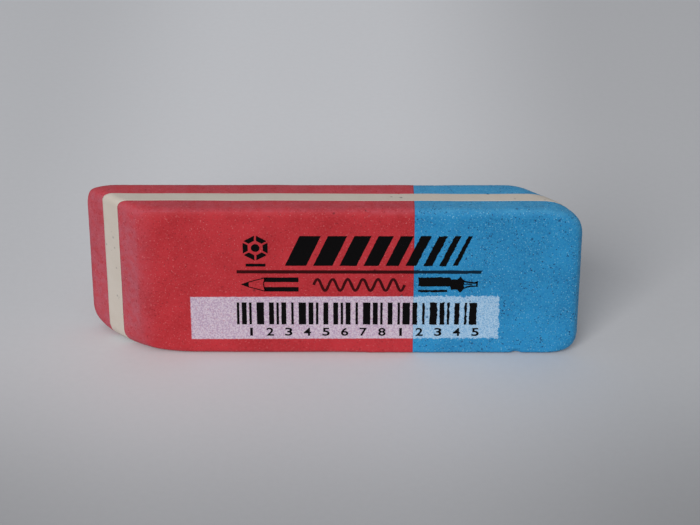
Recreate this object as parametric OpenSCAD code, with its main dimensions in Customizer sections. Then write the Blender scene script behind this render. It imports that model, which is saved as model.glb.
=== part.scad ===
// Two-colour rubber eraser: a slanted block standing on its long narrow edge.
//
// The block is vulcanised from five pieces of rubber. A thin cream core runs the
// whole length and height. On each side of it lie two outer layers that meet end to
// end: a soft red one for pencil and a gritty blue one for ink.
//
// X runs along the length, Y through the thickness (front face at -Y) and Z up.
// The origin is under the middle of the block, on the surface that it stands on.

/* [Block] */
// Length of each wide face, from its tip to its shoulder, before rounding (mm)
face_length = 50.5; // [36:0.5:70]
// Thickness through the layers (mm)
thickness = 7.6; // [6:0.1:12]
// Height as it stands on its long edge (mm)
height = 18; // [14:0.5:24]
// Angle between the wide faces and the slanted ends, seen from above (degrees)
slant_angle = 45; // [38:1:70]

/* [Layers] */
// Thickness of the cream core (mm)
core_thickness = 1.8; // [0.6:0.1:2.6]
// Distance of the core's mid plane behind the middle of the block (mm)
core_offset = -0.3; // [-0.8:0.1:0.8]
// Place along X of the butt joint between red and blue (mm)
colour_joint_x = 9; // [-8:0.1:10]

/* [Long edges] */
// Radius of the front top edge (mm)
front_top_radius = 0.8; // [0.2:0.1:2]
// Radius of the front bottom edge (mm)
front_bottom_radius = 0.6; // [0.2:0.1:2]
// Radius of the back top edge (mm)
back_top_radius = 1.2; // [0.2:0.1:2.4]
// Radius of the back bottom edge (mm)
back_bottom_radius = 0.6; // [0.2:0.1:2]

/* [Upright edges] */
// Radius of the sharp upright edge at the red end's tip (mm)
red_tip_radius = 0.85; // [0.2:0.05:1.8]
// Radius of the sharp upright edge at the blue end's tip (mm)
blue_tip_radius = 1.2; // [0.2:0.05:1.8]
// Radius of the two blunt upright edges, at the shoulders of the slant (mm)
shoulder_radius = 1.5; // [0.2:0.1:3]

/* [Worn end corners] */
// Radius of the red end's top corner (mm)
red_top_radius = 0.8; // [0.2:0.1:5]
// Radius of the red end's bottom corner (mm)
red_bottom_radius = 1.3; // [0.2:0.1:5]
// Radius of the blue end's top corner (mm)
blue_top_radius = 2.2; // [0.2:0.1:5]
// Radius of the blue end's bottom corner (mm)
blue_bottom_radius = 2.3; // [0.2:0.1:5]

/* [Hidden] */

RED = "#ae3640";
BLUE = "#3283b2";
CREAM = "#c9c0b4";
$fn = 96;

// Places of the faces that bound the block and its layers
front_y = -thickness / 2;
back_y = thickness / 2;
core_front_y = core_offset - core_thickness / 2;
core_back_y = core_offset + core_thickness / 2;
// How far a slanted end leans back along X for each unit of Y
end_lean = 1 / tan(slant_angle);
// Half the distance between the slanted ends, measured square to them
end_half = face_length / 2 * sin(slant_angle);
// Rounding shortens a tip by this many times its radius
tip_loss = 1 / tan(slant_angle / 2) - 1;
// Shifts the block along X so that its rounded tips lie evenly about the origin
centring_x = (blue_tip_radius - red_tip_radius) * tip_loss / 2;
// Tools for cutting and intersecting reach this far from the middle, well past the block
reach = face_length + thickness * end_lean + height;
// A rounding tool reaches past the corner that it rounds by this share of its radius
overshoot = 0.25;

// Unit vector from one point to another
function towards(from, to) = (to - from) / norm(to - from);

// What rounding takes off a corner whose two sides run along the unit vectors a and b
module corner_waste(corner, a, b, radius) {
    half_angle = acos(a * b) / 2;
    centre = corner + towards([0, 0], a + b) * radius / sin(half_angle);
    side = radius / tan(half_angle);
    kite = [corner + side * a, corner, corner + side * b];
    difference() {
        polygon([centre, for (p = kite) centre + (1 + overshoot) * (p - centre)]);
        translate(centre) circle(r = radius);
    }
}

// Convex polygon with its own radius at each corner
module rounded_polygon(points, radii) {
    last = len(points) - 1;
    difference() {
        polygon(points);
        for (i = [0:last]) {
            before = points[i == 0 ? last : i - 1];
            after = points[i == last ? 0 : i + 1];
            corner_waste(points[i], towards(points[i], before), towards(points[i], after), radii[i]);
        }
    }
}

// Corners of a rectangle, anticlockwise from its lowest corner
function rectangle(low, high) = [low, [high.x, low.y], high, [low.x, high.y]];

// Rounds the four long edges: the block seen from its blue end, extruded along X
module long_edge_prism() {
    rotate([90, 0, 90])
        linear_extrude(height = 2 * reach, center = true)
            rounded_polygon(
                rectangle([front_y, 0], [back_y, height]),
                [front_bottom_radius, back_bottom_radius, back_top_radius, front_top_radius]
            );
}

// Rounds the four upright edges: the block seen from above, extruded along Z
module upright_edge_prism() {
    half = face_length / 2;
    translate([0, 0, -reach])
        linear_extrude(height = 2 * reach)
            rounded_polygon(
                [
                    [-half - front_y * end_lean, front_y],
                    [half - front_y * end_lean, front_y],
                    [half - back_y * end_lean, back_y],
                    [-half - back_y * end_lean, back_y],
                ],
                [shoulder_radius, blue_tip_radius, shoulder_radius, red_tip_radius]
            );
}

// Rounds the four end corners: the block seen along its slanted ends, extruded that way
module end_corner_prism() {
    rotate([90, 0, 90 - slant_angle])
        linear_extrude(height = 2 * reach, center = true)
            rounded_polygon(
                rectangle([-end_half, 0], [end_half, height]),
                [red_bottom_radius, blue_bottom_radius, blue_top_radius, red_top_radius]
            );
}

// The whole eraser as one block
module block() {
    translate([centring_x, 0, 0])
        intersection() {
            long_edge_prism();
            upright_edge_prism();
            end_corner_prism();
        }
}

// The stretch of the block between two places along X and two through the thickness
module slice(x_range, y_range) {
    intersection() {
        block();
        translate([x_range[0], y_range[0], -reach])
            cube([x_range[1] - x_range[0], y_range[1] - y_range[0], 2 * reach]);
    }
}

// Stretches that the layers fill: outer faces are left to the block itself
red_x = [-reach, colour_joint_x];
blue_x = [colour_joint_x, reach];
front_layer_y = [-reach, core_front_y];
core_layer_y = [core_front_y, core_back_y];
back_layer_y = [core_back_y, reach];

module front_pencil_layer() {
    color(RED) slice(red_x, front_layer_y);
}

module front_ink_layer() {
    color(BLUE) slice(blue_x, front_layer_y);
}

module core_layer() {
    color(CREAM) slice([-reach, reach], core_layer_y);
}

module back_pencil_layer() {
    color(RED) slice(red_x, back_layer_y);
}

module back_ink_layer() {
    color(BLUE) slice(blue_x, back_layer_y);
}

front_pencil_layer();
front_ink_layer();
core_layer();
back_pencil_layer();
back_ink_layer();
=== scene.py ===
"""Looks of the two-colour eraser: rubber surfaces, print, floor, light and camera.

The shape is worked out in millimetres and turned into metres when a mesh is made.
"""

import math

import bmesh
import bpy
import numpy as np
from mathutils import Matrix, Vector
from mathutils.kdtree import KDTree


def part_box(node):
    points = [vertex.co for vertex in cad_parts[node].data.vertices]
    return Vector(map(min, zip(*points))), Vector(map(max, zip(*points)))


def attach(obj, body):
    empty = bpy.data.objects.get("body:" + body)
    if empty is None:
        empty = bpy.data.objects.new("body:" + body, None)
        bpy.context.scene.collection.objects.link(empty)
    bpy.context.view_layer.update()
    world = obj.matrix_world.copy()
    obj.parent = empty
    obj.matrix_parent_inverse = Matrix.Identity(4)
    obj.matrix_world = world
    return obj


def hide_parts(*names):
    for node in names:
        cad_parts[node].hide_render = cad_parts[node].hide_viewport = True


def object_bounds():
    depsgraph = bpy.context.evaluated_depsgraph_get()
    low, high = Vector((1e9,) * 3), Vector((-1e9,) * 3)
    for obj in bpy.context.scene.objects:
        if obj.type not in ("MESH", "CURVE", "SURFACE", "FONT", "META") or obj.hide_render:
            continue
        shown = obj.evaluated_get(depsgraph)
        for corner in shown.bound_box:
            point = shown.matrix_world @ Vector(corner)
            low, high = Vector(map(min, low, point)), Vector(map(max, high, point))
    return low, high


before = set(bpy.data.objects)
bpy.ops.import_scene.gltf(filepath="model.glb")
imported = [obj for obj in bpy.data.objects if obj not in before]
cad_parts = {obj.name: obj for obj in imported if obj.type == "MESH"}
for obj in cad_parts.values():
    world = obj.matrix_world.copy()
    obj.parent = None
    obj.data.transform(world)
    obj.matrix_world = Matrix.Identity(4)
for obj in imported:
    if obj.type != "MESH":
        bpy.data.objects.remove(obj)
cad_low, cad_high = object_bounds()

MM = 0.001
SEED = 7

# ---------------------------------------------------------------- sizes from the frame (mm)


def node_box(name):
    """A CAD node's lowest and highest corners in millimetres."""
    low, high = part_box(name)
    return np.array(low) / MM, np.array(high) / MM


BLOCK_LOW = np.array(cad_low) / MM
BLOCK_HIGH = np.array(cad_high) / MM
HALF_THICK = (BLOCK_HIGH[1] - BLOCK_LOW[1]) / 2
HEIGHT = BLOCK_HIGH[2] - BLOCK_LOW[2]
CORE_FRONT = node_box("core_layer")[0][1]
CORE_BACK = node_box("core_layer")[1][1]
JOINT_X = node_box("front_ink_layer")[0][0]

# The ends are cut at 45 degrees, so they lean one unit of X for each unit of Y
ROOT2 = math.sqrt(2)
# Rounding shortens a tip by this many times its radius
TIP_LOSS = ROOT2
# Radii of the two tips in the CAD model
CAD_RED_TIP, CAD_BLUE_TIP = 0.85, 1.2
CAD_LENGTH = BLOCK_HIGH[0] - BLOCK_LOW[0]
HALF_FACE = (CAD_LENGTH + (CAD_RED_TIP + CAD_BLUE_TIP) * TIP_LOSS) / 2 - HALF_THICK
MIDDLE = np.array([(CAD_BLUE_TIP - CAD_RED_TIP) * TIP_LOSS / 2, 0.0, HEIGHT / 2])

# Roundings before the creases between them are blended, which sharpens them a little
FRONT_TOP, FRONT_BOTTOM, BACK_TOP, BACK_BOTTOM = 1.32, 0.71, 1.83, 0.92
RED_TIP, BLUE_TIP, SHOULDER = 1.17, 1.58, 2.04
RED_TOP, RED_BOTTOM, BLUE_TOP, BLUE_BOTTOM = 1.12, 1.83, 2.75, 2.85
# Rollover where the worn end corners meet the wide faces
RED_TOP_ROLL, RED_BOTTOM_ROLL, BLUE_TOP_ROLL, BLUE_BOTTOM_ROLL = 0.5, 0.92, 1.0, 0.65
# How deep rubbing has worn the four sharp points, from the point before rounding
RED_TOP_WEAR, BLUE_TOP_WEAR, RED_BOTTOM_WEAR, BLUE_BOTTOM_WEAR = 1.73, 2.85, 2.14, 2.14
# The same for the two blunt points at the red end's front
SHOULDER_TOP_WEAR, SHOULDER_BOTTOM_WEAR = 0.5, 0.85
EDGE_BLEND = 0.68
WEAR_BLEND = 1.63

# Blending sinks the flats: the top, bottom and ends once, and the wide faces twice.
# The unblended block is larger by as much, so that the flats end up where the CAD has them.
ONCE_SUNK = EDGE_BLEND / 4
TWICE_SUNK = ONCE_SUNK + EDGE_BLEND / 4 * (1 - ONCE_SUNK / EDGE_BLEND) ** 2
RAW_FACE = HALF_FACE + ONCE_SUNK * ROOT2
RAW_THICK = HALF_THICK + TWICE_SUNK
RAW_HEIGHT = HEIGHT / 2 + ONCE_SUNK

# ---------------------------------------------------------------- shape of the block


def rounded_corner(a, b, radius):
    """Distance outside a square corner whose sides are at a = 0 and b = 0, rounded."""
    qa, qb = a + radius, b + radius
    within = np.minimum(np.maximum(qa, qb), 0)
    beyond = np.hypot(np.maximum(qa, 0), np.maximum(qb, 0))
    return within + beyond - radius


def rounded_meeting(a, b, cosine, radius):
    """Distance outside two surfaces whose outward normals meet at this cosine, rounded."""
    qa, qb = a + radius, b + radius
    square = (qa * qa + qb * qb - 2 * cosine * qa * qb) / (1 - cosine * cosine)
    between = (qa > cosine * qb) & (qb > cosine * qa)
    return np.where(between, np.sqrt(np.maximum(square, 0)), np.maximum(qa, qb)) - radius


def soft_max(a, b, blend):
    """The larger of two distances, with the crease between them rounded off."""
    h = np.maximum(blend - np.abs(a - b), 0) / blend
    return np.maximum(a, b) + h * h * blend / 4


def by_quarter(side, z, low_top, low_bottom, high_top, high_bottom):
    """Picks each point's value by the quarter it is in: low or high in side, top or bottom in z."""
    at_low = np.where(z > 0, low_top, low_bottom)
    at_high = np.where(z > 0, high_top, high_bottom)
    return np.where(side > 0, at_high, at_low)


# Which end, side and height each worn point is at, and how deep it is worn
WORN_POINTS = [
    (-1, 1, 1, RED_TOP_WEAR),
    (1, -1, 1, BLUE_TOP_WEAR),
    (-1, 1, -1, RED_BOTTOM_WEAR),
    (1, -1, -1, BLUE_BOTTOM_WEAR),
    (-1, -1, 1, SHOULDER_TOP_WEAR),
    (-1, -1, -1, SHOULDER_BOTTOM_WEAR),
]


def outside(points):
    """Signed distance of points outside the block, in millimetres."""
    x, y, z = (points - MIDDLE).T
    u = (x + y) / ROOT2
    end_gap = np.abs(u) - RAW_FACE / ROOT2
    top_gap = np.abs(z) - RAW_HEIGHT
    side_gap = np.abs(y) - RAW_THICK
    long_radius = by_quarter(y, z, FRONT_TOP, FRONT_BOTTOM, BACK_TOP, BACK_BOTTOM)
    long_edges = rounded_corner(side_gap, top_gap, long_radius)
    at_tip = u * y < 0
    tip_radius = np.where(u > 0, BLUE_TIP, RED_TIP)
    upright_radius = np.where(at_tip, tip_radius, SHOULDER)
    cosine = np.where(at_tip, -1, 1) / ROOT2
    upright_edges = rounded_meeting(end_gap, side_gap, cosine, upright_radius)
    corner_radius = by_quarter(u, z, RED_TOP, RED_BOTTOM, BLUE_TOP, BLUE_BOTTOM)
    corners = rounded_corner(end_gap, top_gap, corner_radius)
    qu = np.maximum(end_gap + corner_radius, 0)
    qz = np.maximum(top_gap + corner_radius, 0)
    facing_end = np.where(qu + qz > 0, qu / np.maximum(np.hypot(qu, qz), 1e-9), end_gap > top_gap)
    roll = by_quarter(u, z, RED_TOP_ROLL, RED_BOTTOM_ROLL, BLUE_TOP_ROLL, BLUE_BOTTOM_ROLL)
    rolled = rounded_meeting(corners, side_gap, cosine * facing_end, roll)
    found = soft_max(soft_max(long_edges, upright_edges, EDGE_BLEND), rolled, EDGE_BLEND)
    for end, side, top, wear in WORN_POINTS:
        point = np.array([end * RAW_FACE - side * RAW_THICK, side * RAW_THICK, top * RAW_HEIGHT])
        out = np.array([end / ROOT2, end / ROOT2 + side, top])
        away = (points - MIDDLE - point) @ (out / np.linalg.norm(out)) + wear
        found = soft_max(found, away, WEAR_BLEND)
    return found


def outward(points):
    """Unit normals of the block's distance field."""
    step = 1e-3
    slope = np.empty_like(points)
    for axis in range(3):
        shift = np.zeros(3)
        shift[axis] = step
        slope[:, axis] = outside(points + shift) - outside(points - shift)
    return slope / np.linalg.norm(slope, axis=1, keepdims=True)


def lattice_block(spacing):
    """Points and outward-facing quads of an even grid over the block before rounding."""
    length, thick = 2 * HALF_FACE, 2 * HALF_THICK
    count = [max(2, round(side / spacing)) for side in (length, thick, HEIGHT)]
    cells = [np.arange(n) for n in count]

    def code(i, j, k):
        return (i * (count[1] + 1) + j) * (count[2] + 1) + k

    quads = []
    for axis, turned in ((0, True), (1, False), (2, True)):
        p, q = [a for a in range(3) if a != axis]
        a, b = np.meshgrid(cells[p], cells[q], indexing="ij")
        a, b = a.ravel(), b.ravel()
        for end in (0, count[axis]):
            ring = [(a, b), (a + 1, b), (a + 1, b + 1), (a, b + 1)]
            if turned != (end > 0):
                ring.reverse()
            columns = []
            for along_p, along_q in ring:
                index = [None] * 3
                index[axis] = np.full_like(a, end)
                index[p], index[q] = along_p, along_q
                columns.append(code(*index))
            quads.append(np.stack(columns, axis=1))
    codes, faces = np.unique(np.concatenate(quads), return_inverse=True)
    i, rest = np.divmod(codes, (count[1] + 1) * (count[2] + 1))
    j, k = np.divmod(rest, count[2] + 1)
    y = (j / count[1] * 2 - 1) * HALF_THICK
    x = (i / count[0] * 2 - 1) * HALF_FACE - y
    z = (k / count[2] * 2 - 1) * HEIGHT / 2
    return np.stack([x, y, z], axis=1) + MIDDLE, faces.reshape(-1, 4)


def settle(points, rounds=7):
    """Moves points square to the block's surface until they lie on it."""
    for _ in range(rounds):
        points = points - outside(points)[:, None] * outward(points)
    return points


# ---------------------------------------------------------------- grain, pits and dents

TABLE_SIZE = 4096
# Large odd numbers that scatter a lattice point's three whole numbers over the table
SCATTER_X, SCATTER_Y, SCATTER_Z = 73856093, 19349663, 83492791


def lattice_noise(points, cell, seed):
    """Smooth noise from 0 to 1 whose lumps are about one cell across."""
    table = np.random.default_rng(SEED + seed).random(TABLE_SIZE)
    place = points / cell
    base = np.floor(place).astype(np.int64)
    t = place - base
    t = t * t * (3 - 2 * t)
    total = np.zeros(len(points))
    for corner in range(8):
        bits = np.array([corner >> 2 & 1, corner >> 1 & 1, corner & 1])
        at = base + bits
        mixed = at[:, 0] * SCATTER_X ^ at[:, 1] * SCATTER_Y ^ at[:, 2] * SCATTER_Z
        value = table[mixed % TABLE_SIZE]
        total += value * np.prod(np.where(bits, t, 1 - t), axis=1)
    return total


def scatter_pits(points, chosen, count, radii, depths, seed):
    """Depth of small round pits at random points among the chosen ones."""
    rng = np.random.default_rng(SEED + seed)
    tree = KDTree(len(points))
    for i, p in enumerate(points):
        tree.insert(p, i)
    tree.balance()
    depth = np.zeros(len(points))
    for centre in rng.choice(np.flatnonzero(chosen), count, replace=False):
        growth = rng.random() ** 4
        radius = radii[0] + (radii[1] - radii[0]) * growth
        deepest = depths[0] + (depths[1] - depths[0]) * growth
        for _, i, gap in tree.find_range(points[centre], radius):
            depth[i] = max(depth[i], deepest * (1 - (gap / radius) ** 2))
    return depth


# Grey marks on the cream rubber, as place (mm) and radius (mm)
MARKS = [
    ((-24.5, -0.5, 13.0), 0.2),
    ((-24.2, -0.75, 5.6), 0.14),
    ((6.5, -0.1, HEIGHT), 0.2),
]

# Dents that handling left, as place (mm), radius (mm) and depth (mm)
DENTS = [
    ((20.6, -HALF_THICK, 0.1), 0.7, 0.28),
    ((-3.0, -HALF_THICK, HEIGHT), 0.9, 0.06),
    ((15.2, -HALF_THICK, HEIGHT), 0.5, 0.09),
    ((-14.5, HALF_THICK, HEIGHT), 0.8, 0.07),
    ((4.5, HALF_THICK, 0.0), 0.9, 0.12),
    ((-22.2, -3.4, 5.0), 0.6, 0.07),
    ((24.6, -1.0, 13.5), 0.7, 0.08),
]


def dent_depth(points):
    """How deep the dents press in at each point."""
    depth = np.zeros(len(points))
    for place, radius, deepest in DENTS:
        gap = np.linalg.norm(points - np.array(place), axis=1) / radius
        depth = np.maximum(depth, deepest * np.clip(1 - gap * gap, 0, 1) ** 1.5)
    return depth


# How far the cut finish reaches over the rim of the wide faces, in from the ends and from the top
# and bottom (mm)
END_RIM, TOP_RIM = 1.8, 1.2
# How strong it is at the ends' rim, and the share of that rise that the top and bottom get
RIM_STRENGTH, TOP_RISE = 0.5, 0.6
# The finish is full where the Y part of the normal is under this, and fades above it
FULL_FINISH_NORMAL = 0.71


def cut_finish_and_sheen_share(points, normals):
    """How much of the dull cut finish each point has: all on the ends and narrow sides, fading out
    over the rim of the wide faces. It also sets where the pale bloom's painted sheen shows."""
    x, y, z = (points - MIDDLE).T
    end_gap = np.abs((x + y) / ROOT2) - HALF_FACE / ROOT2
    top_gap = np.abs(z) - HEIGHT / 2
    flatness = (np.abs(normals[:, 1]) - FULL_FINISH_NORMAL) / (1 - FULL_FINISH_NORMAL)
    rolled = 1 - np.clip(flatness, 0, 1) ** 0.75
    rim = np.maximum(1 + end_gap / END_RIM, TOP_RISE * (1 + top_gap / TOP_RIM))
    return np.maximum(rolled, RIM_STRENGTH * np.clip(rim, 0, 1) ** 2)


# How deep the grain goes in each rubber (mm), and how much deeper it goes where it is cut
BLUE_GRAIN, RED_GRAIN, CREAM_GRAIN = 0.034, 0.018, 0.008
CUT_GRAIN = 0.8
# How wide the grain's coarse and fine lumps are (mm), and the share of its depth that is coarse
COARSE_CELL, FINE_CELL, COARSE_SHARE = 0.28, 0.13, 0.6
# How deep the cut sides sink in broad patches, and how wide those are (mm)
CUT_HOLLOW, HOLLOW_CELL = 0.05, 3.5
# The pits of each rubber: how many, their radii (mm), their depths (mm) and their seed
BLUE_PITS = (520, (0.08, 0.2), (0.03, 0.1), 4)
RED_PITS = (170, (0.09, 0.2), (0.02, 0.06), 5)
CREAM_PITS = (20, (0.1, 0.22), (0.02, 0.05), 6)
# No pits this near to the colour joint on the blue side (mm)
CLEAN_JOINT = 0.2
# How deep a grey mark is pressed in (mm)
MARK_DEPTH = 0.035


def surface_block(spacing):
    """The worn block's points and quads, and for each point its pit depth and how cut it is."""
    points, quads = lattice_block(spacing)
    points = settle(points)
    normals = outward(points)
    is_core = (points[:, 1] > CORE_FRONT) & (points[:, 1] < CORE_BACK)
    is_blue = (points[:, 0] > JOINT_X) & ~is_core
    is_red = ~is_blue & ~is_core
    cut = cut_finish_and_sheen_share(points, normals)
    coarse = lattice_noise(points, COARSE_CELL, 1)
    fine = lattice_noise(points, FINE_CELL, 2)
    lumps = coarse * COARSE_SHARE + fine * (1 - COARSE_SHARE)
    broad = lattice_noise(points, HOLLOW_CELL, 3)
    grain = np.where(is_blue, BLUE_GRAIN, np.where(is_red, RED_GRAIN, CREAM_GRAIN))
    grain = grain * (1 + CUT_GRAIN * cut)
    pits = scatter_pits(points, is_blue, *BLUE_PITS)
    pits = np.maximum(pits, scatter_pits(points, is_red, *RED_PITS))
    pits = np.maximum(pits, scatter_pits(points, is_core, *CREAM_PITS))
    pits *= np.where(is_blue & (points[:, 0] < JOINT_X + CLEAN_JOINT), 0, 1)
    for place, radius in MARKS:
        gap = np.linalg.norm(points - np.array(place), axis=1) / radius
        pits = np.maximum(pits, MARK_DEPTH * np.clip(1 - gap * gap, 0, 1))
    inward = lumps * grain + broad * CUT_HOLLOW * cut + pits + dent_depth(points)
    return points - inward[:, None] * normals, quads, pits, cut


# ---------------------------------------------------------------- the five pieces of rubber

# How far the surface sinks along the seam between two pieces (mm)
SEAM_DEPTH = 0.025


def keep_side(bm, place, normal):
    """Cuts a closed mesh by a plane, keeps what lies against the normal, and closes the cut."""
    geometry = bm.verts[:] + bm.edges[:] + bm.faces[:]
    cut = bmesh.ops.bisect_plane(
        bm,
        geom=geometry,
        dist=1e-7,
        plane_co=Vector(place) * MM,
        plane_no=normal,
        clear_outer=True,
    )
    rim = [e for e in cut["geom_cut"] if isinstance(e, bmesh.types.BMEdge)]
    across = Vector(normal)
    for v in {v for e in rim for v in e.verts}:
        inward = v.normal - across * v.normal.dot(across)
        if inward.length > 0.1:
            v.co -= inward.normalized() * SEAM_DEPTH * MM
    made = bmesh.ops.edgenet_fill(bm, edges=rim)["faces"]
    for face in made:
        face.smooth = False
        if face.normal.dot(across) < 0:
            face.normal_flip()


def rubber_piece(name, source, cuts, node, material):
    """One piece of rubber, cut out of the block's mesh by planes, in place of its CAD node."""
    bm = bmesh.new()
    bm.from_mesh(source)
    bm.normal_update()
    for place, normal in cuts:
        keep_side(bm, place, normal)
    mesh = bpy.data.meshes.new(name)
    bm.to_mesh(mesh)
    bm.free()
    mesh.materials.append(material)
    piece = bpy.data.objects.new(name, mesh)
    bpy.context.scene.collection.objects.link(piece)
    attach(piece, "root")
    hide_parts(node)
    return piece


def block_mesh(spacing):
    """The whole block as a Blender mesh that holds the pit depth and the cut share."""
    points, quads, pits, cut = surface_block(spacing)
    mesh = bpy.data.meshes.new("block")
    mesh.from_pydata((points * MM).tolist(), [], quads.tolist())
    mesh.polygons.foreach_set("use_smooth", np.ones(len(quads), dtype=bool))
    # The cut share also sets where the pale bloom, partly painted sheen, shows in the rubber materials
    for name, values in (("pit", pits), ("cut", cut)):
        mesh.attributes.new(name, "FLOAT", "POINT").data.foreach_set("value", values)
    mesh.update()
    return mesh


# ---------------------------------------------------------------- material helpers


class Shader:
    """A material's node tree, with short calls for the nodes used here."""

    def __init__(self, name):
        self.material = bpy.data.materials.new(name)
        self.material.use_nodes = True
        self.tree = self.material.node_tree
        self.surface = self.tree.nodes["Principled BSDF"]
        place = self.tree.nodes.new("ShaderNodeTexCoord").outputs["Object"]
        self.place = self.scaled(place, 1 / MM)

    def add(self, kind, inputs, **settings):
        node = self.tree.nodes.new(kind)
        for key, value in settings.items():
            setattr(node, key, value)
        for key, value in inputs.items():
            if isinstance(value, bpy.types.NodeSocket):
                self.tree.links.new(value, node.inputs[key])
            else:
                node.inputs[key].default_value = value
        return node

    def scaled(self, value, scale):
        inputs = {0: value, "Scale": scale}
        return self.add("ShaderNodeVectorMath", inputs, operation="SCALE").outputs[0]

    def math(self, operation, a, b=0.0, clamp=False):
        node = self.add("ShaderNodeMath", {0: a, 1: b}, operation=operation, use_clamp=clamp)
        return node.outputs[0]

    def noise(self, scale, detail=2.0, rough=0.5):
        inputs = {"Vector": self.place, "Scale": scale, "Detail": detail, "Roughness": rough}
        return self.add("ShaderNodeTexNoise", inputs).outputs["Fac"]

    def ramp(self, value, low, high):
        """0 below low, 1 above high and smooth between. High may be under low."""
        inputs = {"Value": value, "From Min": low, "From Max": high}
        return self.add("ShaderNodeMapRange", inputs, interpolation_type="SMOOTHSTEP").outputs["Result"]

    def spread(self, share, low, high):
        """Turns a share from 0 to 1 into a value from low to high."""
        inputs = {"Value": share, "To Min": low, "To Max": high}
        return self.add("ShaderNodeMapRange", inputs).outputs["Result"]

    def attribute(self, name):
        return self.add("ShaderNodeAttribute", {}, attribute_name=name).outputs["Fac"]

    def mix(self, share, a, b):
        node = self.add("ShaderNodeMix", {"Factor": share}, data_type="RGBA")
        for socket, value in ((node.inputs[6], a), (node.inputs[7], b)):
            if isinstance(value, bpy.types.NodeSocket):
                self.tree.links.new(value, socket)
            else:
                socket.default_value = (*value, 1)
        return node.outputs[2]

    def specks(self, scale, size, share):
        """1 inside small round specks that fill this share of the cells, and 0 outside."""
        node = self.add("ShaderNodeTexVoronoi", {"Vector": self.place, "Scale": scale})
        near = self.ramp(node.outputs["Distance"], size, size * 0.5)
        pick = self.add("ShaderNodeSeparateColor", {"Color": node.outputs["Color"]}).outputs[0]
        return self.math("MULTIPLY", near, self.math("LESS_THAN", pick, share))

    def finish(self, colour, roughness, shine, bump, strength, distance):
        """Connects the material's outputs. The bump's distance is in millimetres."""
        links = self.tree.links
        self.surface.inputs["Specular IOR Level"].default_value = shine
        links.new(colour, self.surface.inputs["Base Color"])
        links.new(roughness, self.surface.inputs["Roughness"])
        inputs = {"Height": bump, "Strength": strength, "Distance": distance * MM}
        links.new(self.add("ShaderNodeBump", inputs).outputs[0], self.surface.inputs["Normal"])
        return self.material


def srgb(red, green, blue):
    """A display colour from 0 to 255 as a linear one."""
    shares = [c / 255 for c in (red, green, blue)]
    return tuple(c / 12.92 if c <= 0.04045 else ((c + 0.055) / 1.055) ** 2.4 for c in shares)


# ---------------------------------------------------------------- the white label

# Its edges on the front face (mm), and how far it is turned anticlockwise
LABEL_LEFT, LABEL_RIGHT = -15.85, 18.54
LABEL_BOTTOM, LABEL_TOP = 2.01, 7.36
LABEL_TILT = math.radians(0.3)
# How far its edge fades each way, and between which places behind the front face it ends (mm)
LABEL_FADE = 0.06
LABEL_FULL_TO, LABEL_GONE_AT = 0.25, 0.35


def label_share(shader, raggedness, holes):
    """Where the white ink lies on the front face, with a ragged edge and small holes."""
    ripple = shader.noise(3.2, 3.0)
    separate = shader.add("ShaderNodeSeparateXYZ", {"Vector": shader.place}).outputs
    middle_x = (LABEL_LEFT + LABEL_RIGHT) / 2
    middle_z = (LABEL_BOTTOM + LABEL_TOP) / 2
    x = shader.math("SUBTRACT", separate[0], middle_x)
    z = shader.math("SUBTRACT", separate[2], middle_z)
    level_z = shader.math("SUBTRACT", z, shader.math("MULTIPLY", x, math.tan(LABEL_TILT)))
    half_x = (LABEL_RIGHT - LABEL_LEFT) / 2
    half_z = (LABEL_TOP - LABEL_BOTTOM) / 2
    beyond_x = shader.math("SUBTRACT", shader.math("ABSOLUTE", x), half_x)
    beyond_z = shader.math("SUBTRACT", shader.math("ABSOLUTE", level_z), half_z)
    beyond = shader.math("MAXIMUM", beyond_x, beyond_z)
    wander = shader.math("MULTIPLY", shader.math("SUBTRACT", ripple, 0.5), raggedness)
    edge = shader.ramp(shader.math("ADD", beyond, wander), LABEL_FADE, -LABEL_FADE)
    gone_y, full_y = LABEL_GONE_AT - HALF_THICK, LABEL_FULL_TO - HALF_THICK
    on_front = shader.ramp(separate[1], gone_y, full_y)
    ink = shader.math("MULTIPLY", edge, on_front)
    gap = shader.ramp(shader.noise(5.5, 2.0), 0.58, 0.70)
    solid = shader.math("SUBTRACT", 1.0, shader.math("MULTIPLY", gap, holes))
    return shader.math("MULTIPLY", ink, solid)


# ---------------------------------------------------------------- rubber materials

# The rubbers' middle colours, which show through thin ink
RED = srgb(172, 34, 42)
BLUE = srgb(26, 120, 174)
RUBBER_SHINE = 0.35


def bloom_and_sheen_share(shader, sheen_on_end, sheen_on_top):
    """How strongly the pale bloom shows where the rubber is cut, on the ends and on the top. The bloom
    is partly the cut rubber's own paler finish and partly painted sheen, its strength set by which
    way the face points.
    """
    normal = shader.add("ShaderNodeTexCoord", {}).outputs["Normal"]
    level = shader.add("ShaderNodeSeparateXYZ", {"Vector": normal}).outputs[2]
    facing_up = shader.ramp(shader.math("ABSOLUTE", level), 0.3, 0.9)
    strength = shader.spread(facing_up, sheen_on_end, sheen_on_top)
    patches = shader.ramp(shader.noise(1.3, 4.0, 0.6), 0.0, 0.8)
    patchy = shader.math("MULTIPLY", strength, patches)
    return shader.math("MULTIPLY", shader.attribute("cut"), patchy)


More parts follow.
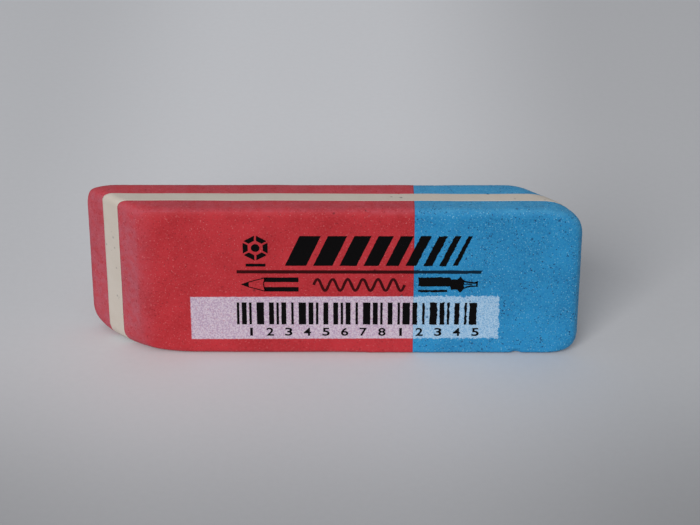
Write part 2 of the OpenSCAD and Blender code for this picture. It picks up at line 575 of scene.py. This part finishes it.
def red_rubber():
    """Soft red rubber: fine grain, pale crumbs, a few dark specks, painted shade in its pits, and dull
    bloom where it is cut that is partly painted sheen.
    """
    s = Shader("red_rubber")
    tone = s.mix(s.ramp(s.noise(0.16, 6.0, 0.75), 0.3, 0.7), srgb(164, 21, 31), srgb(191, 41, 51))
    grain = s.noise(4.5, 3.0, 0.6)
    tone = s.mix(s.ramp(grain, 0.35, 0.8), tone, srgb(184, 50, 58))
    # Pale bloom on the cut faces: partly the rubber's own cut finish, partly painted sheen, stronger on
    # the ends than on the top
    tone = s.mix(bloom_and_sheen_share(s, 0.66, 0.34), tone, srgb(176, 98, 114))
    pale = s.ramp(s.noise(6.0, 1.5), 0.655, 0.71)
    tone = s.mix(s.math("MULTIPLY", pale, 0.5), tone, srgb(214, 118, 120))
    dark = s.ramp(s.noise(5.2, 1.0), 0.35, 0.29)
    tone = s.mix(s.math("MULTIPLY", dark, 0.5), tone, srgb(112, 14, 26))
    # Painted shade in the pits: darker red where the pit attribute is deep
    tone = s.mix(s.ramp(s.attribute("pit"), 0.0, 0.06), tone, srgb(112, 20, 30))
    flecks = s.ramp(s.noise(6.5, 2.0, 0.6), 0.36, 0.62)
    white = s.mix(flecks, srgb(174, 156, 182), srgb(208, 198, 211))
    tone = s.mix(s.math("MULTIPLY", label_share(s, 0.12, 0.3), 0.93), tone, white)
    return s.finish(tone, s.spread(grain, 0.62, 0.8), RUBBER_SHINE, grain, 0.35, 0.03)


def blue_rubber():
    """Hard blue rubber full of grit: clusters of tiny dark pits painted as specks of shade, painted
    shade in the modelled pits, pale grains, and dull bloom where it is cut that is partly painted
    sheen.
    """
    s = Shader("blue_rubber")
    tone = s.mix(s.ramp(s.noise(0.14, 6.0, 0.75), 0.3, 0.7), srgb(7, 109, 165), srgb(28, 136, 195))
    grain = s.noise(4.0, 4.0, 0.65)
    tone = s.mix(s.ramp(grain, 0.3, 0.8), tone, srgb(44, 142, 188))
    # Pale bloom on the cut faces: partly the rubber's own cut finish, partly painted sheen, a little
    # stronger on the top than on the ends
    tone = s.mix(bloom_and_sheen_share(s, 0.34, 0.40), tone, srgb(88, 162, 200))
    pale = s.ramp(s.noise(6.3, 1.5), 0.635, 0.69)
    tone = s.mix(s.math("MULTIPLY", pale, 0.65), tone, srgb(128, 190, 218))
    # Painted shade of pits too small to model: tiny dark specks, gathered into clusters
    crowd = s.math("MULTIPLY", s.math("SUBTRACT", s.noise(0.5, 2.0), 0.5), 0.30)
    dark = s.ramp(s.math("ADD", s.noise(5.4, 1.5), crowd), 0.665, 0.705)
    tone = s.mix(s.math("MULTIPLY", dark, 0.9), tone, srgb(6, 50, 94))
    flecks = s.ramp(s.noise(5.5, 2.0, 0.6), 0.36, 0.62)
    white = s.mix(flecks, srgb(128, 172, 208), srgb(188, 214, 234))
    tone = s.mix(s.math("MULTIPLY", label_share(s, 0.8, 0.8), 0.88), tone, white)
    # Painted shade in the pits: dark blue where the pit attribute is deep
    tone = s.mix(s.ramp(s.attribute("pit"), 0.01, 0.10), tone, srgb(8, 54, 98))
    return s.finish(tone, s.spread(grain, 0.6, 0.85), RUBBER_SHINE, grain, 0.5, 0.04)


def cream_rubber():
    """Smooth cream rubber with a few grey marks, and painted shade in its few pits."""
    s = Shader("cream_rubber")
    tone = s.mix(s.noise(0.5, 4.0, 0.6), srgb(190, 180, 168), srgb(202, 194, 185))
    grain = s.noise(6.0, 3.0, 0.6)
    tone = s.mix(s.math("MULTIPLY", s.specks(0.9, 0.16, 0.22), 0.5), tone, srgb(128, 124, 124))
    # Painted shade in the pits, and the grey of the pressed-in marks, which share the pit attribute
    tone = s.mix(s.ramp(s.attribute("pit"), 0.0, 0.05), tone, srgb(132, 128, 126))
    return s.finish(tone, s.spread(grain, 0.55, 0.7), RUBBER_SHINE, grain, 0.2, 0.02)


# ---------------------------------------------------------------- black print

# The ink stands this far proud of the front face, and is this thick (mm)
INK_STAND, INK_DEPTH = 0.006, 0.02
INK_FACE = -HALF_THICK - INK_STAND
INK_SHINE = 0.08


def black_ink(name, thinness):
    """Black ink that lets what it lies on show where it is thin."""
    s = Shader(name)
    x, _, z = s.add("ShaderNodeSeparateXYZ", {"Vector": s.place}).outputs
    on_blue = s.math("GREATER_THAN", x, JOINT_X)
    under = s.mix(on_blue, RED, BLUE)
    under = s.mix(s.math("LESS_THAN", z, LABEL_TOP), under, srgb(184, 176, 196))
    patchy = s.noise(4.5, 3.0, 0.6)
    worn = s.ramp(patchy, s.math("SUBTRACT", 0.76, s.math("MULTIPLY", on_blue, 0.08)), 0.86)
    through = s.math("ADD", s.math("MULTIPLY", worn, 0.6), thinness, clamp=True)
    tone = s.mix(through, srgb(5, 4, 5), under)
    return s.finish(tone, s.spread(patchy, 0.65, 0.85), INK_SHINE, patchy, 0.2, 0.02)


# How far the print's edge wanders on the red rubber, and how much further on the blue (mm)
RAGGED, RAGGED_ON_BLUE = 0.045, 0.10
# How long the waves of that edge are (mm)
RAGGED_CELL = 0.22


def roughen(bm, step=0.11):
    """Gives flat print outlines a slightly uneven edge, more so on the gritty blue rubber."""
    for _ in range(6):
        rim = [e for e in bm.edges if e.is_boundary and e.calc_length() > 1.6 * step]
        if not rim:
            break
        bmesh.ops.subdivide_edges(bm, edges=rim, cuts=1)
    rim = [v for v in bm.verts if v.is_boundary]
    places = np.array([v.co for v in rim])
    on_blue = np.clip((places[:, 0] - JOINT_X) / 0.5, 0, 1)
    reach = RAGGED + RAGGED_ON_BLUE * on_blue
    for axis, seed in ((0, 21), (2, 22)):
        shift = (lattice_noise(places, RAGGED_CELL, seed) - 0.5) * reach
        for v, move in zip(rim, shift):
            v.co[axis] += move


def print_piece(name, bm, ink, rough=True):
    """Turns flat outlines, in millimetres, into a thin layer of ink on the front face."""
    if rough:
        roughen(bm)
    bmesh.ops.triangulate(bm, faces=bm.faces[:])
    bmesh.ops.recalc_face_normals(bm, faces=bm.faces[:])
    bm.normal_update()
    if sum(f.normal.y * f.calc_area() for f in bm.faces) > 0:
        bmesh.ops.reverse_faces(bm, faces=bm.faces[:])
    for v in bm.verts:
        v.co.y = INK_FACE
    extruded = bmesh.ops.extrude_face_region(bm, geom=bm.faces[:])
    for v in (g for g in extruded["geom"] if isinstance(g, bmesh.types.BMVert)):
        v.co.y += INK_DEPTH
    bmesh.ops.recalc_face_normals(bm, faces=bm.faces[:])
    bmesh.ops.scale(bm, vec=(MM, MM, MM), verts=bm.verts[:])
    mesh = bpy.data.meshes.new(name)
    bm.to_mesh(mesh)
    bm.free()
    mesh.materials.append(ink)
    piece = bpy.data.objects.new(name, mesh)
    bpy.context.scene.collection.objects.link(piece)
    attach(piece, "root")
    return piece


def outlines(shapes):
    """A mesh of flat polygons, each a list of (x, z) points."""
    bm = bmesh.new()
    for shape in shapes:
        bm.faces.new([bm.verts.new((x, INK_FACE, z)) for x, z in shape])
    return bm


def box(left, bottom, right, top):
    """A rectangle's corners as (x, z) points."""
    return [(left, bottom), (right, bottom), (right, top), (left, top)]


def digit_outline(digit, left, bottom, right, top, weight):
    """One digit filled into a rectangle, as a flat mesh."""
    curve = bpy.data.curves.new("digit", "FONT")
    curve.body = digit
    curve.offset = weight
    curve.resolution_u = 6
    maker = bpy.data.objects.new("digit", curve)
    bpy.context.scene.collection.objects.link(maker)
    bpy.context.view_layer.update()
    graph = bpy.context.evaluated_depsgraph_get()
    mesh = bpy.data.meshes.new_from_object(maker.evaluated_get(graph))
    bm = bmesh.new()
    bm.from_mesh(mesh)
    bpy.data.objects.remove(maker)
    bpy.data.meshes.remove(mesh)
    bpy.data.curves.remove(curve)
    bmesh.ops.remove_doubles(bm, verts=bm.verts[:], dist=1e-5)
    low = [min(v.co[i] for v in bm.verts) for i in (0, 1)]
    high = [max(v.co[i] for v in bm.verts) for i in (0, 1)]
    for v in bm.verts:
        x = left + (v.co.x - low[0]) / (high[0] - low[0]) * (right - left)
        z = bottom + (v.co.y - low[1]) / (high[1] - low[1]) * (top - bottom)
        v.co = (x, INK_FACE, z)
    return bm


def bar_shapes(left, bottom, right, top, module=0.279):
    """Upright bars whose widths follow two even sequences and stand for nothing."""
    shapes = []
    x = left
    i = 0
    while x < right - module:
        width = module * (1 + int(2.5 * (0.618 * i % 1))) * 0.98
        shapes.append(box(x, bottom, min(x + width, right), top))
        x += width + module * (1 + int(2.05 * ((0.755 * i + 0.3) % 1)))
        i += 1
    return shapes


def stroke(points, width):
    """A band of even width along a line of (x, z) points, as one outline."""
    left, right = [], []
    for i, (x, z) in enumerate(points):
        x0, z0 = points[max(i - 1, 0)]
        x1, z1 = points[min(i + 1, len(points) - 1)]
        length = math.hypot(x1 - x0, z1 - z0)
        side_x, side_z = -(z1 - z0) / length * width / 2, (x1 - x0) / length * width / 2
        left.append((x + side_x, z + side_z))
        right.append((x - side_x, z - side_z))
    return [*right, *reversed(left)]


def pencil_shapes(tip_x, right, middle, half):
    """A sharpened pencil seen from the side, with its point to the left."""
    cone_x = tip_x + 2.6
    lead_x = tip_x + 0.9
    slope = half / (cone_x - tip_x)
    lead = (lead_x - tip_x) * slope
    arc = [(cone_x + 0.35 - 0.4 * math.cos(a), middle + half * 0.9 * math.sin(a)) for a in
           np.linspace(-math.pi / 2, math.pi / 2, 9)]
    return [
        [(tip_x, middle), (lead_x, middle - lead - 0.05), (lead_x, middle + lead + 0.05)],
        box(cone_x, middle + 0.3, right, middle + half),
        box(cone_x, middle - half, right, middle - 0.32),
        stroke([(lead_x, middle + lead), (cone_x + 0.1, middle + half - 0.04)], 0.1),
        stroke([(lead_x, middle - lead), (cone_x + 0.1, middle - half + 0.04)], 0.1),
        stroke(arc, 0.12),
    ]


def pen_shapes(left, tip_x, middle, half):
    """A fountain pen seen from the side, with its nib to the right."""
    body_x = left + 3.4
    collar_x = tip_x - 1.9
    nib_x = collar_x + 0.42
    barrel = [
        (left, middle - 0.2), (body_x, middle - 0.2), (body_x + 0.25, middle - 0.6),
        (collar_x - 0.3, middle - 0.62), (collar_x, middle - half), (nib_x, middle - 0.5),
        (nib_x, middle + 0.56), (collar_x, middle + half), (collar_x - 0.3, middle + 0.68),
        (body_x + 0.25, middle + 0.66), (body_x, middle + 0.92), (left, middle + 0.92),
    ]
    root_x, bend_x = nib_x - 0.05, tip_x - 0.75
    lower_edge = [(root_x, middle - 0.42), (bend_x, middle - 0.16), (tip_x, middle - 0.2)]
    upper_edge = [(root_x, middle + 0.48), (bend_x, middle + 0.26), (tip_x, middle + 0.28)]
    return [
        barrel,
        box(left, middle - 0.92, left + 3.25, middle - 0.66),
        stroke(lower_edge, 0.16),
        stroke(upper_edge, 0.2),
        stroke([(root_x, middle + 0.04), (tip_x - 0.55, middle + 0.05)], 0.13),
        box(tip_x - 0.1, middle - 0.28, tip_x + 0.08, middle + 0.38),
    ]


def between(start, end, share):
    """The point this share of the way from one (x, z) point to another."""
    return tuple(a + (b - a) * share for a, b in zip(start, end))


def emblem_shapes(left, bottom, right, top):
    """The end of a pencil: six facets around a round lead, above a short line."""
    line = 0.09 * (top - bottom)
    reach = (top - bottom - 2 * line) / 2
    middle_x, middle_z = (left + right) / 2, top - reach
    inner, lead = 0.6 * reach, 0.3 * reach
    gap = 0.13

    def ring(radius, count, turn=0.0):
        angles = [2 * math.pi * i / count + turn for i in range(count)]
        return [(middle_x + radius * math.cos(a), middle_z + radius * math.sin(a)) for a in angles]

    outer_ring, inner_ring = ring(reach, 6, math.pi / 6), ring(inner, 6, math.pi / 6)
    shapes = [ring(lead, 20), box(left + line, bottom, right - line, bottom + line)]
    for i in range(6):
        j = (i + 1) % 6
        out_a, out_b, in_a, in_b = outer_ring[i], outer_ring[j], inner_ring[i], inner_ring[j]
        far, near = gap / reach, gap / inner
        shapes.append([
            between(out_a, out_b, far),
            between(out_a, out_b, 1 - far),
            between(in_a, in_b, 1 - near),
            between(in_a, in_b, near),
        ])
    return shapes


def fading_stripes(left, bottom, right, top):
    """A row of slanted stripes that thin out to the right, as if they were rubbed away."""
    lean = 0.45 * (top - bottom)
    count = 9
    gap = 0.78
    widest, thinnest = 2.35, 0.5
    widths = [widest + (thinnest - widest) * i / (count - 1) for i in range(count)]
    share = (right - left - lean - gap * (count - 1)) / sum(widths)
    shapes = []
    x = left
    for width in widths:
        end = x + width * share
        shapes.append([(x, bottom), (end, bottom), (end + lean, top), (x + lean, top)])
        x += width * share + gap
    return shapes


def wave_shapes(left, right, middle, reach):
    """A thin wavy line, as a pencil or a pen draws it."""
    waves, steps, width = 6, 120, 0.3
    line = []
    for i in range(steps + 1):
        share = i / steps
        x = left + (right - left) * share
        line.append((x, middle + reach * math.sin(share * waves * 2 * math.pi)))
    return [stroke(line, width)]


# Places of the print on the front face: left, bottom, right and top (mm)
EMBLEM_PLACE = (-9.94, 11.11, -7.05, 14.98)
STRIPES_PLACE = (-5.26, 11.21, 15.43, 14.88)
RULE_PLACE = (-10.6, 10.25, 16.45, 10.65)
BARS_PLACE = (-10.7, 3.82, 16.2, 6.61)
# The row of digits: how many, the first one's left, their pitch, their width, bottom and top (mm)
DIGIT_COUNT, DIGIT_LEFT, DIGIT_PITCH, DIGIT_WIDTH = 13, -9.53, 2.09, 0.82
DIGIT_BOTTOM, DIGIT_TOP = 2.37, 3.39
NARROW_DIGIT_WIDTH = 0.3
# How much the ink lets through where it is laid on fully, and in the fine lines
FULL_INK, FINE_INK = 0.0, 0.09


def make_digits(ink):
    """A row of plain digits that counts from 1 to 8 and starts again."""
    for i in range(DIGIT_COUNT):
        digit = str(i % 8 + 1)
        width = NARROW_DIGIT_WIDTH if digit == "1" else DIGIT_WIDTH
        middle = DIGIT_LEFT + i * DIGIT_PITCH + DIGIT_WIDTH / 2
        left, right = middle - width / 2, middle + width / 2
        outline = digit_outline(digit, left, DIGIT_BOTTOM, right, DIGIT_TOP, weight=0.02)
        print_piece(f"digit_print_{i + 1}", outline, ink, rough=False)


def make_print():
    """All the black print on the front face."""
    solid = black_ink("solid_ink", FULL_INK)
    thin = black_ink("thin_ink", FINE_INK)
    print_piece("emblem", outlines(emblem_shapes(*EMBLEM_PLACE)), solid)
    print_piece("stripes_print", outlines(fading_stripes(*STRIPES_PLACE)), solid)
    print_piece("rule_print", outlines([box(*RULE_PLACE)]), thin)
    print_piece("pencil_print", outlines(pencil_shapes(-10.2, -3.78, 8.87, 0.88)), solid)
    print_piece("wave_print", outlines(wave_shapes(-2.1, 7.99, 8.83, 0.72)), thin)
    print_piece("pen_print", outlines(pen_shapes(9.52, 16.04, 8.87, 1.02)), solid)
    print_piece("bars_print", outlines(bar_shapes(*BARS_PLACE)), solid)
    make_digits(solid)


# ---------------------------------------------------------------- floor, light and camera

PAPER_SHINE = 0.1


def painted_light_falloff(shader):
    """Painted light on the floor: how much its colour is brightened or darkened from place to place,
    as if the light fell off around the eraser.
    """
    x, y, _ = shader.add("ShaderNodeSeparateXYZ", {"Vector": shader.place}).outputs
    near = shader.math("ADD", 0.75, shader.math("MULTIPLY", shader.ramp(y, -44, 0), 0.48))
    left = shader.math("MULTIPLY", shader.ramp(x, -15, -45), 0.15)
    right = shader.math("MULTIPLY", shader.ramp(x, 5, 40), 0.25)
    across = shader.math("SUBTRACT", 1.0, shader.math("ADD", left, right))
    return shader.math("MULTIPLY", near, across)


def make_floor():
    """A pale surface under the eraser, with a painted pool of light in its colour that falls off away
    from the eraser.
    """
    half = 1.5
    corners = [(-half, -half, 0), (half, -half, 0), (half, half, 0), (-half, half, 0)]
    mesh = bpy.data.meshes.new("floor")
    mesh.from_pydata(corners, [], [(0, 1, 2, 3)])
    s = Shader("floor_paper")
    fibre = s.noise(1.2, 3.0, 0.6)
    tone = s.mix(fibre, srgb(194, 195, 199), srgb(199, 200, 204))
    # Painted light: the paper's colour is scaled up near and behind the eraser, and down towards the
    # front and both sides, most on the right.
    tone = s.scaled(tone, painted_light_falloff(s))
    mesh.materials.append(s.finish(tone, s.spread(fibre, 0.9, 1.0), PAPER_SHINE, fibre, 0.05, 0.02))
    floor = bpy.data.objects.new("floor", mesh)
    bpy.context.scene.collection.objects.link(floor)


def make_light(name, place, aim, size, power, colour):
    """A square area light that faces a point."""
    data = bpy.data.lights.new(name, "AREA")
    data.shape = "SQUARE"
    data.size = size
    data.energy = power
    data.color = colour
    light = bpy.data.objects.new(name, data)
    light.location = place
    light.rotation_euler = (Vector(aim) - Vector(place)).to_track_quat("-Z", "Y").to_euler()
    bpy.context.scene.collection.objects.link(light)


def make_lights():
    """Soft daylight from the front left, and an even sky."""
    make_light(
        "window",
        place=(-0.546, -1.352, 0.876),
        aim=(0, 0, 0.005),
        size=0.8,
        power=19.4,
        colour=(1.0, 0.985, 0.97),
    )
    world = bpy.data.worlds.new("sky")
    world.use_nodes = True
    sky = world.node_tree.nodes["Background"]
    sky.inputs["Color"].default_value = (0.96, 0.98, 1.0, 1)
    sky.inputs["Strength"].default_value = 0.43
    bpy.context.scene.world = world


def make_camera():
    """The eraser seen from the front and above, with a long lens."""
    data = bpy.data.cameras.new("camera")
    data.sensor_width = 36
    data.lens = 107.5
    data.clip_start = 0.01
    data.clip_end = 10
    camera = bpy.data.objects.new("camera", data)
    camera.location = (0.002637, -0.208692, 0.117293)
    look_down, turn_left = 27.28, 0.197
    camera.rotation_euler = (math.radians(90 - look_down), 0, math.radians(turn_left))
    bpy.context.scene.collection.objects.link(camera)
    bpy.context.scene.camera = camera


# ---------------------------------------------------------------- everything together

# Distance between the block's surface points (mm)
SPACING = 0.125

# Planes that cut the block apart, each with the way that it faces
TO_FRONT = ((0, CORE_FRONT, 0), (0, 1, 0))
TO_BACK = ((0, CORE_BACK, 0), (0, -1, 0))
BEHIND_FRONT = ((0, CORE_FRONT, 0), (0, -1, 0))
BEFORE_BACK = ((0, CORE_BACK, 0), (0, 1, 0))
RED_SIDE = ((JOINT_X, 0, 0), (1, 0, 0))
BLUE_SIDE = ((JOINT_X, 0, 0), (-1, 0, 0))

# Each piece of rubber, the cuts that leave it, the CAD node that it stands for, and its rubber
LAYERS = [
    ("front_pencil_rubber", [TO_FRONT, RED_SIDE], "front_pencil_layer", "red_rubber"),
    ("front_ink_rubber", [TO_FRONT, BLUE_SIDE], "front_ink_layer", "blue_rubber"),
    ("core_rubber", [BEHIND_FRONT, BEFORE_BACK], "core_layer", "cream_rubber"),
    ("back_pencil_rubber", [TO_BACK, RED_SIDE], "back_pencil_layer", "red_rubber"),
    ("back_ink_rubber", [TO_BACK, BLUE_SIDE], "back_ink_layer", "blue_rubber"),
]


def make_rubber(spacing):
    """The five pieces of rubber, cut out of one worn block."""
    whole = block_mesh(spacing)
    rubbers = {
        "red_rubber": red_rubber(),
        "blue_rubber": blue_rubber(),
        "cream_rubber": cream_rubber(),
    }
    for name, cuts, node, slot in LAYERS:
        rubber_piece(name, whole, cuts, node, rubbers[slot])
    bpy.data.meshes.remove(whole)


make_camera()
make_floor()
make_lights()
make_rubber(SPACING)
make_print()

bpy.context.scene.view_settings.view_transform = "Standard"
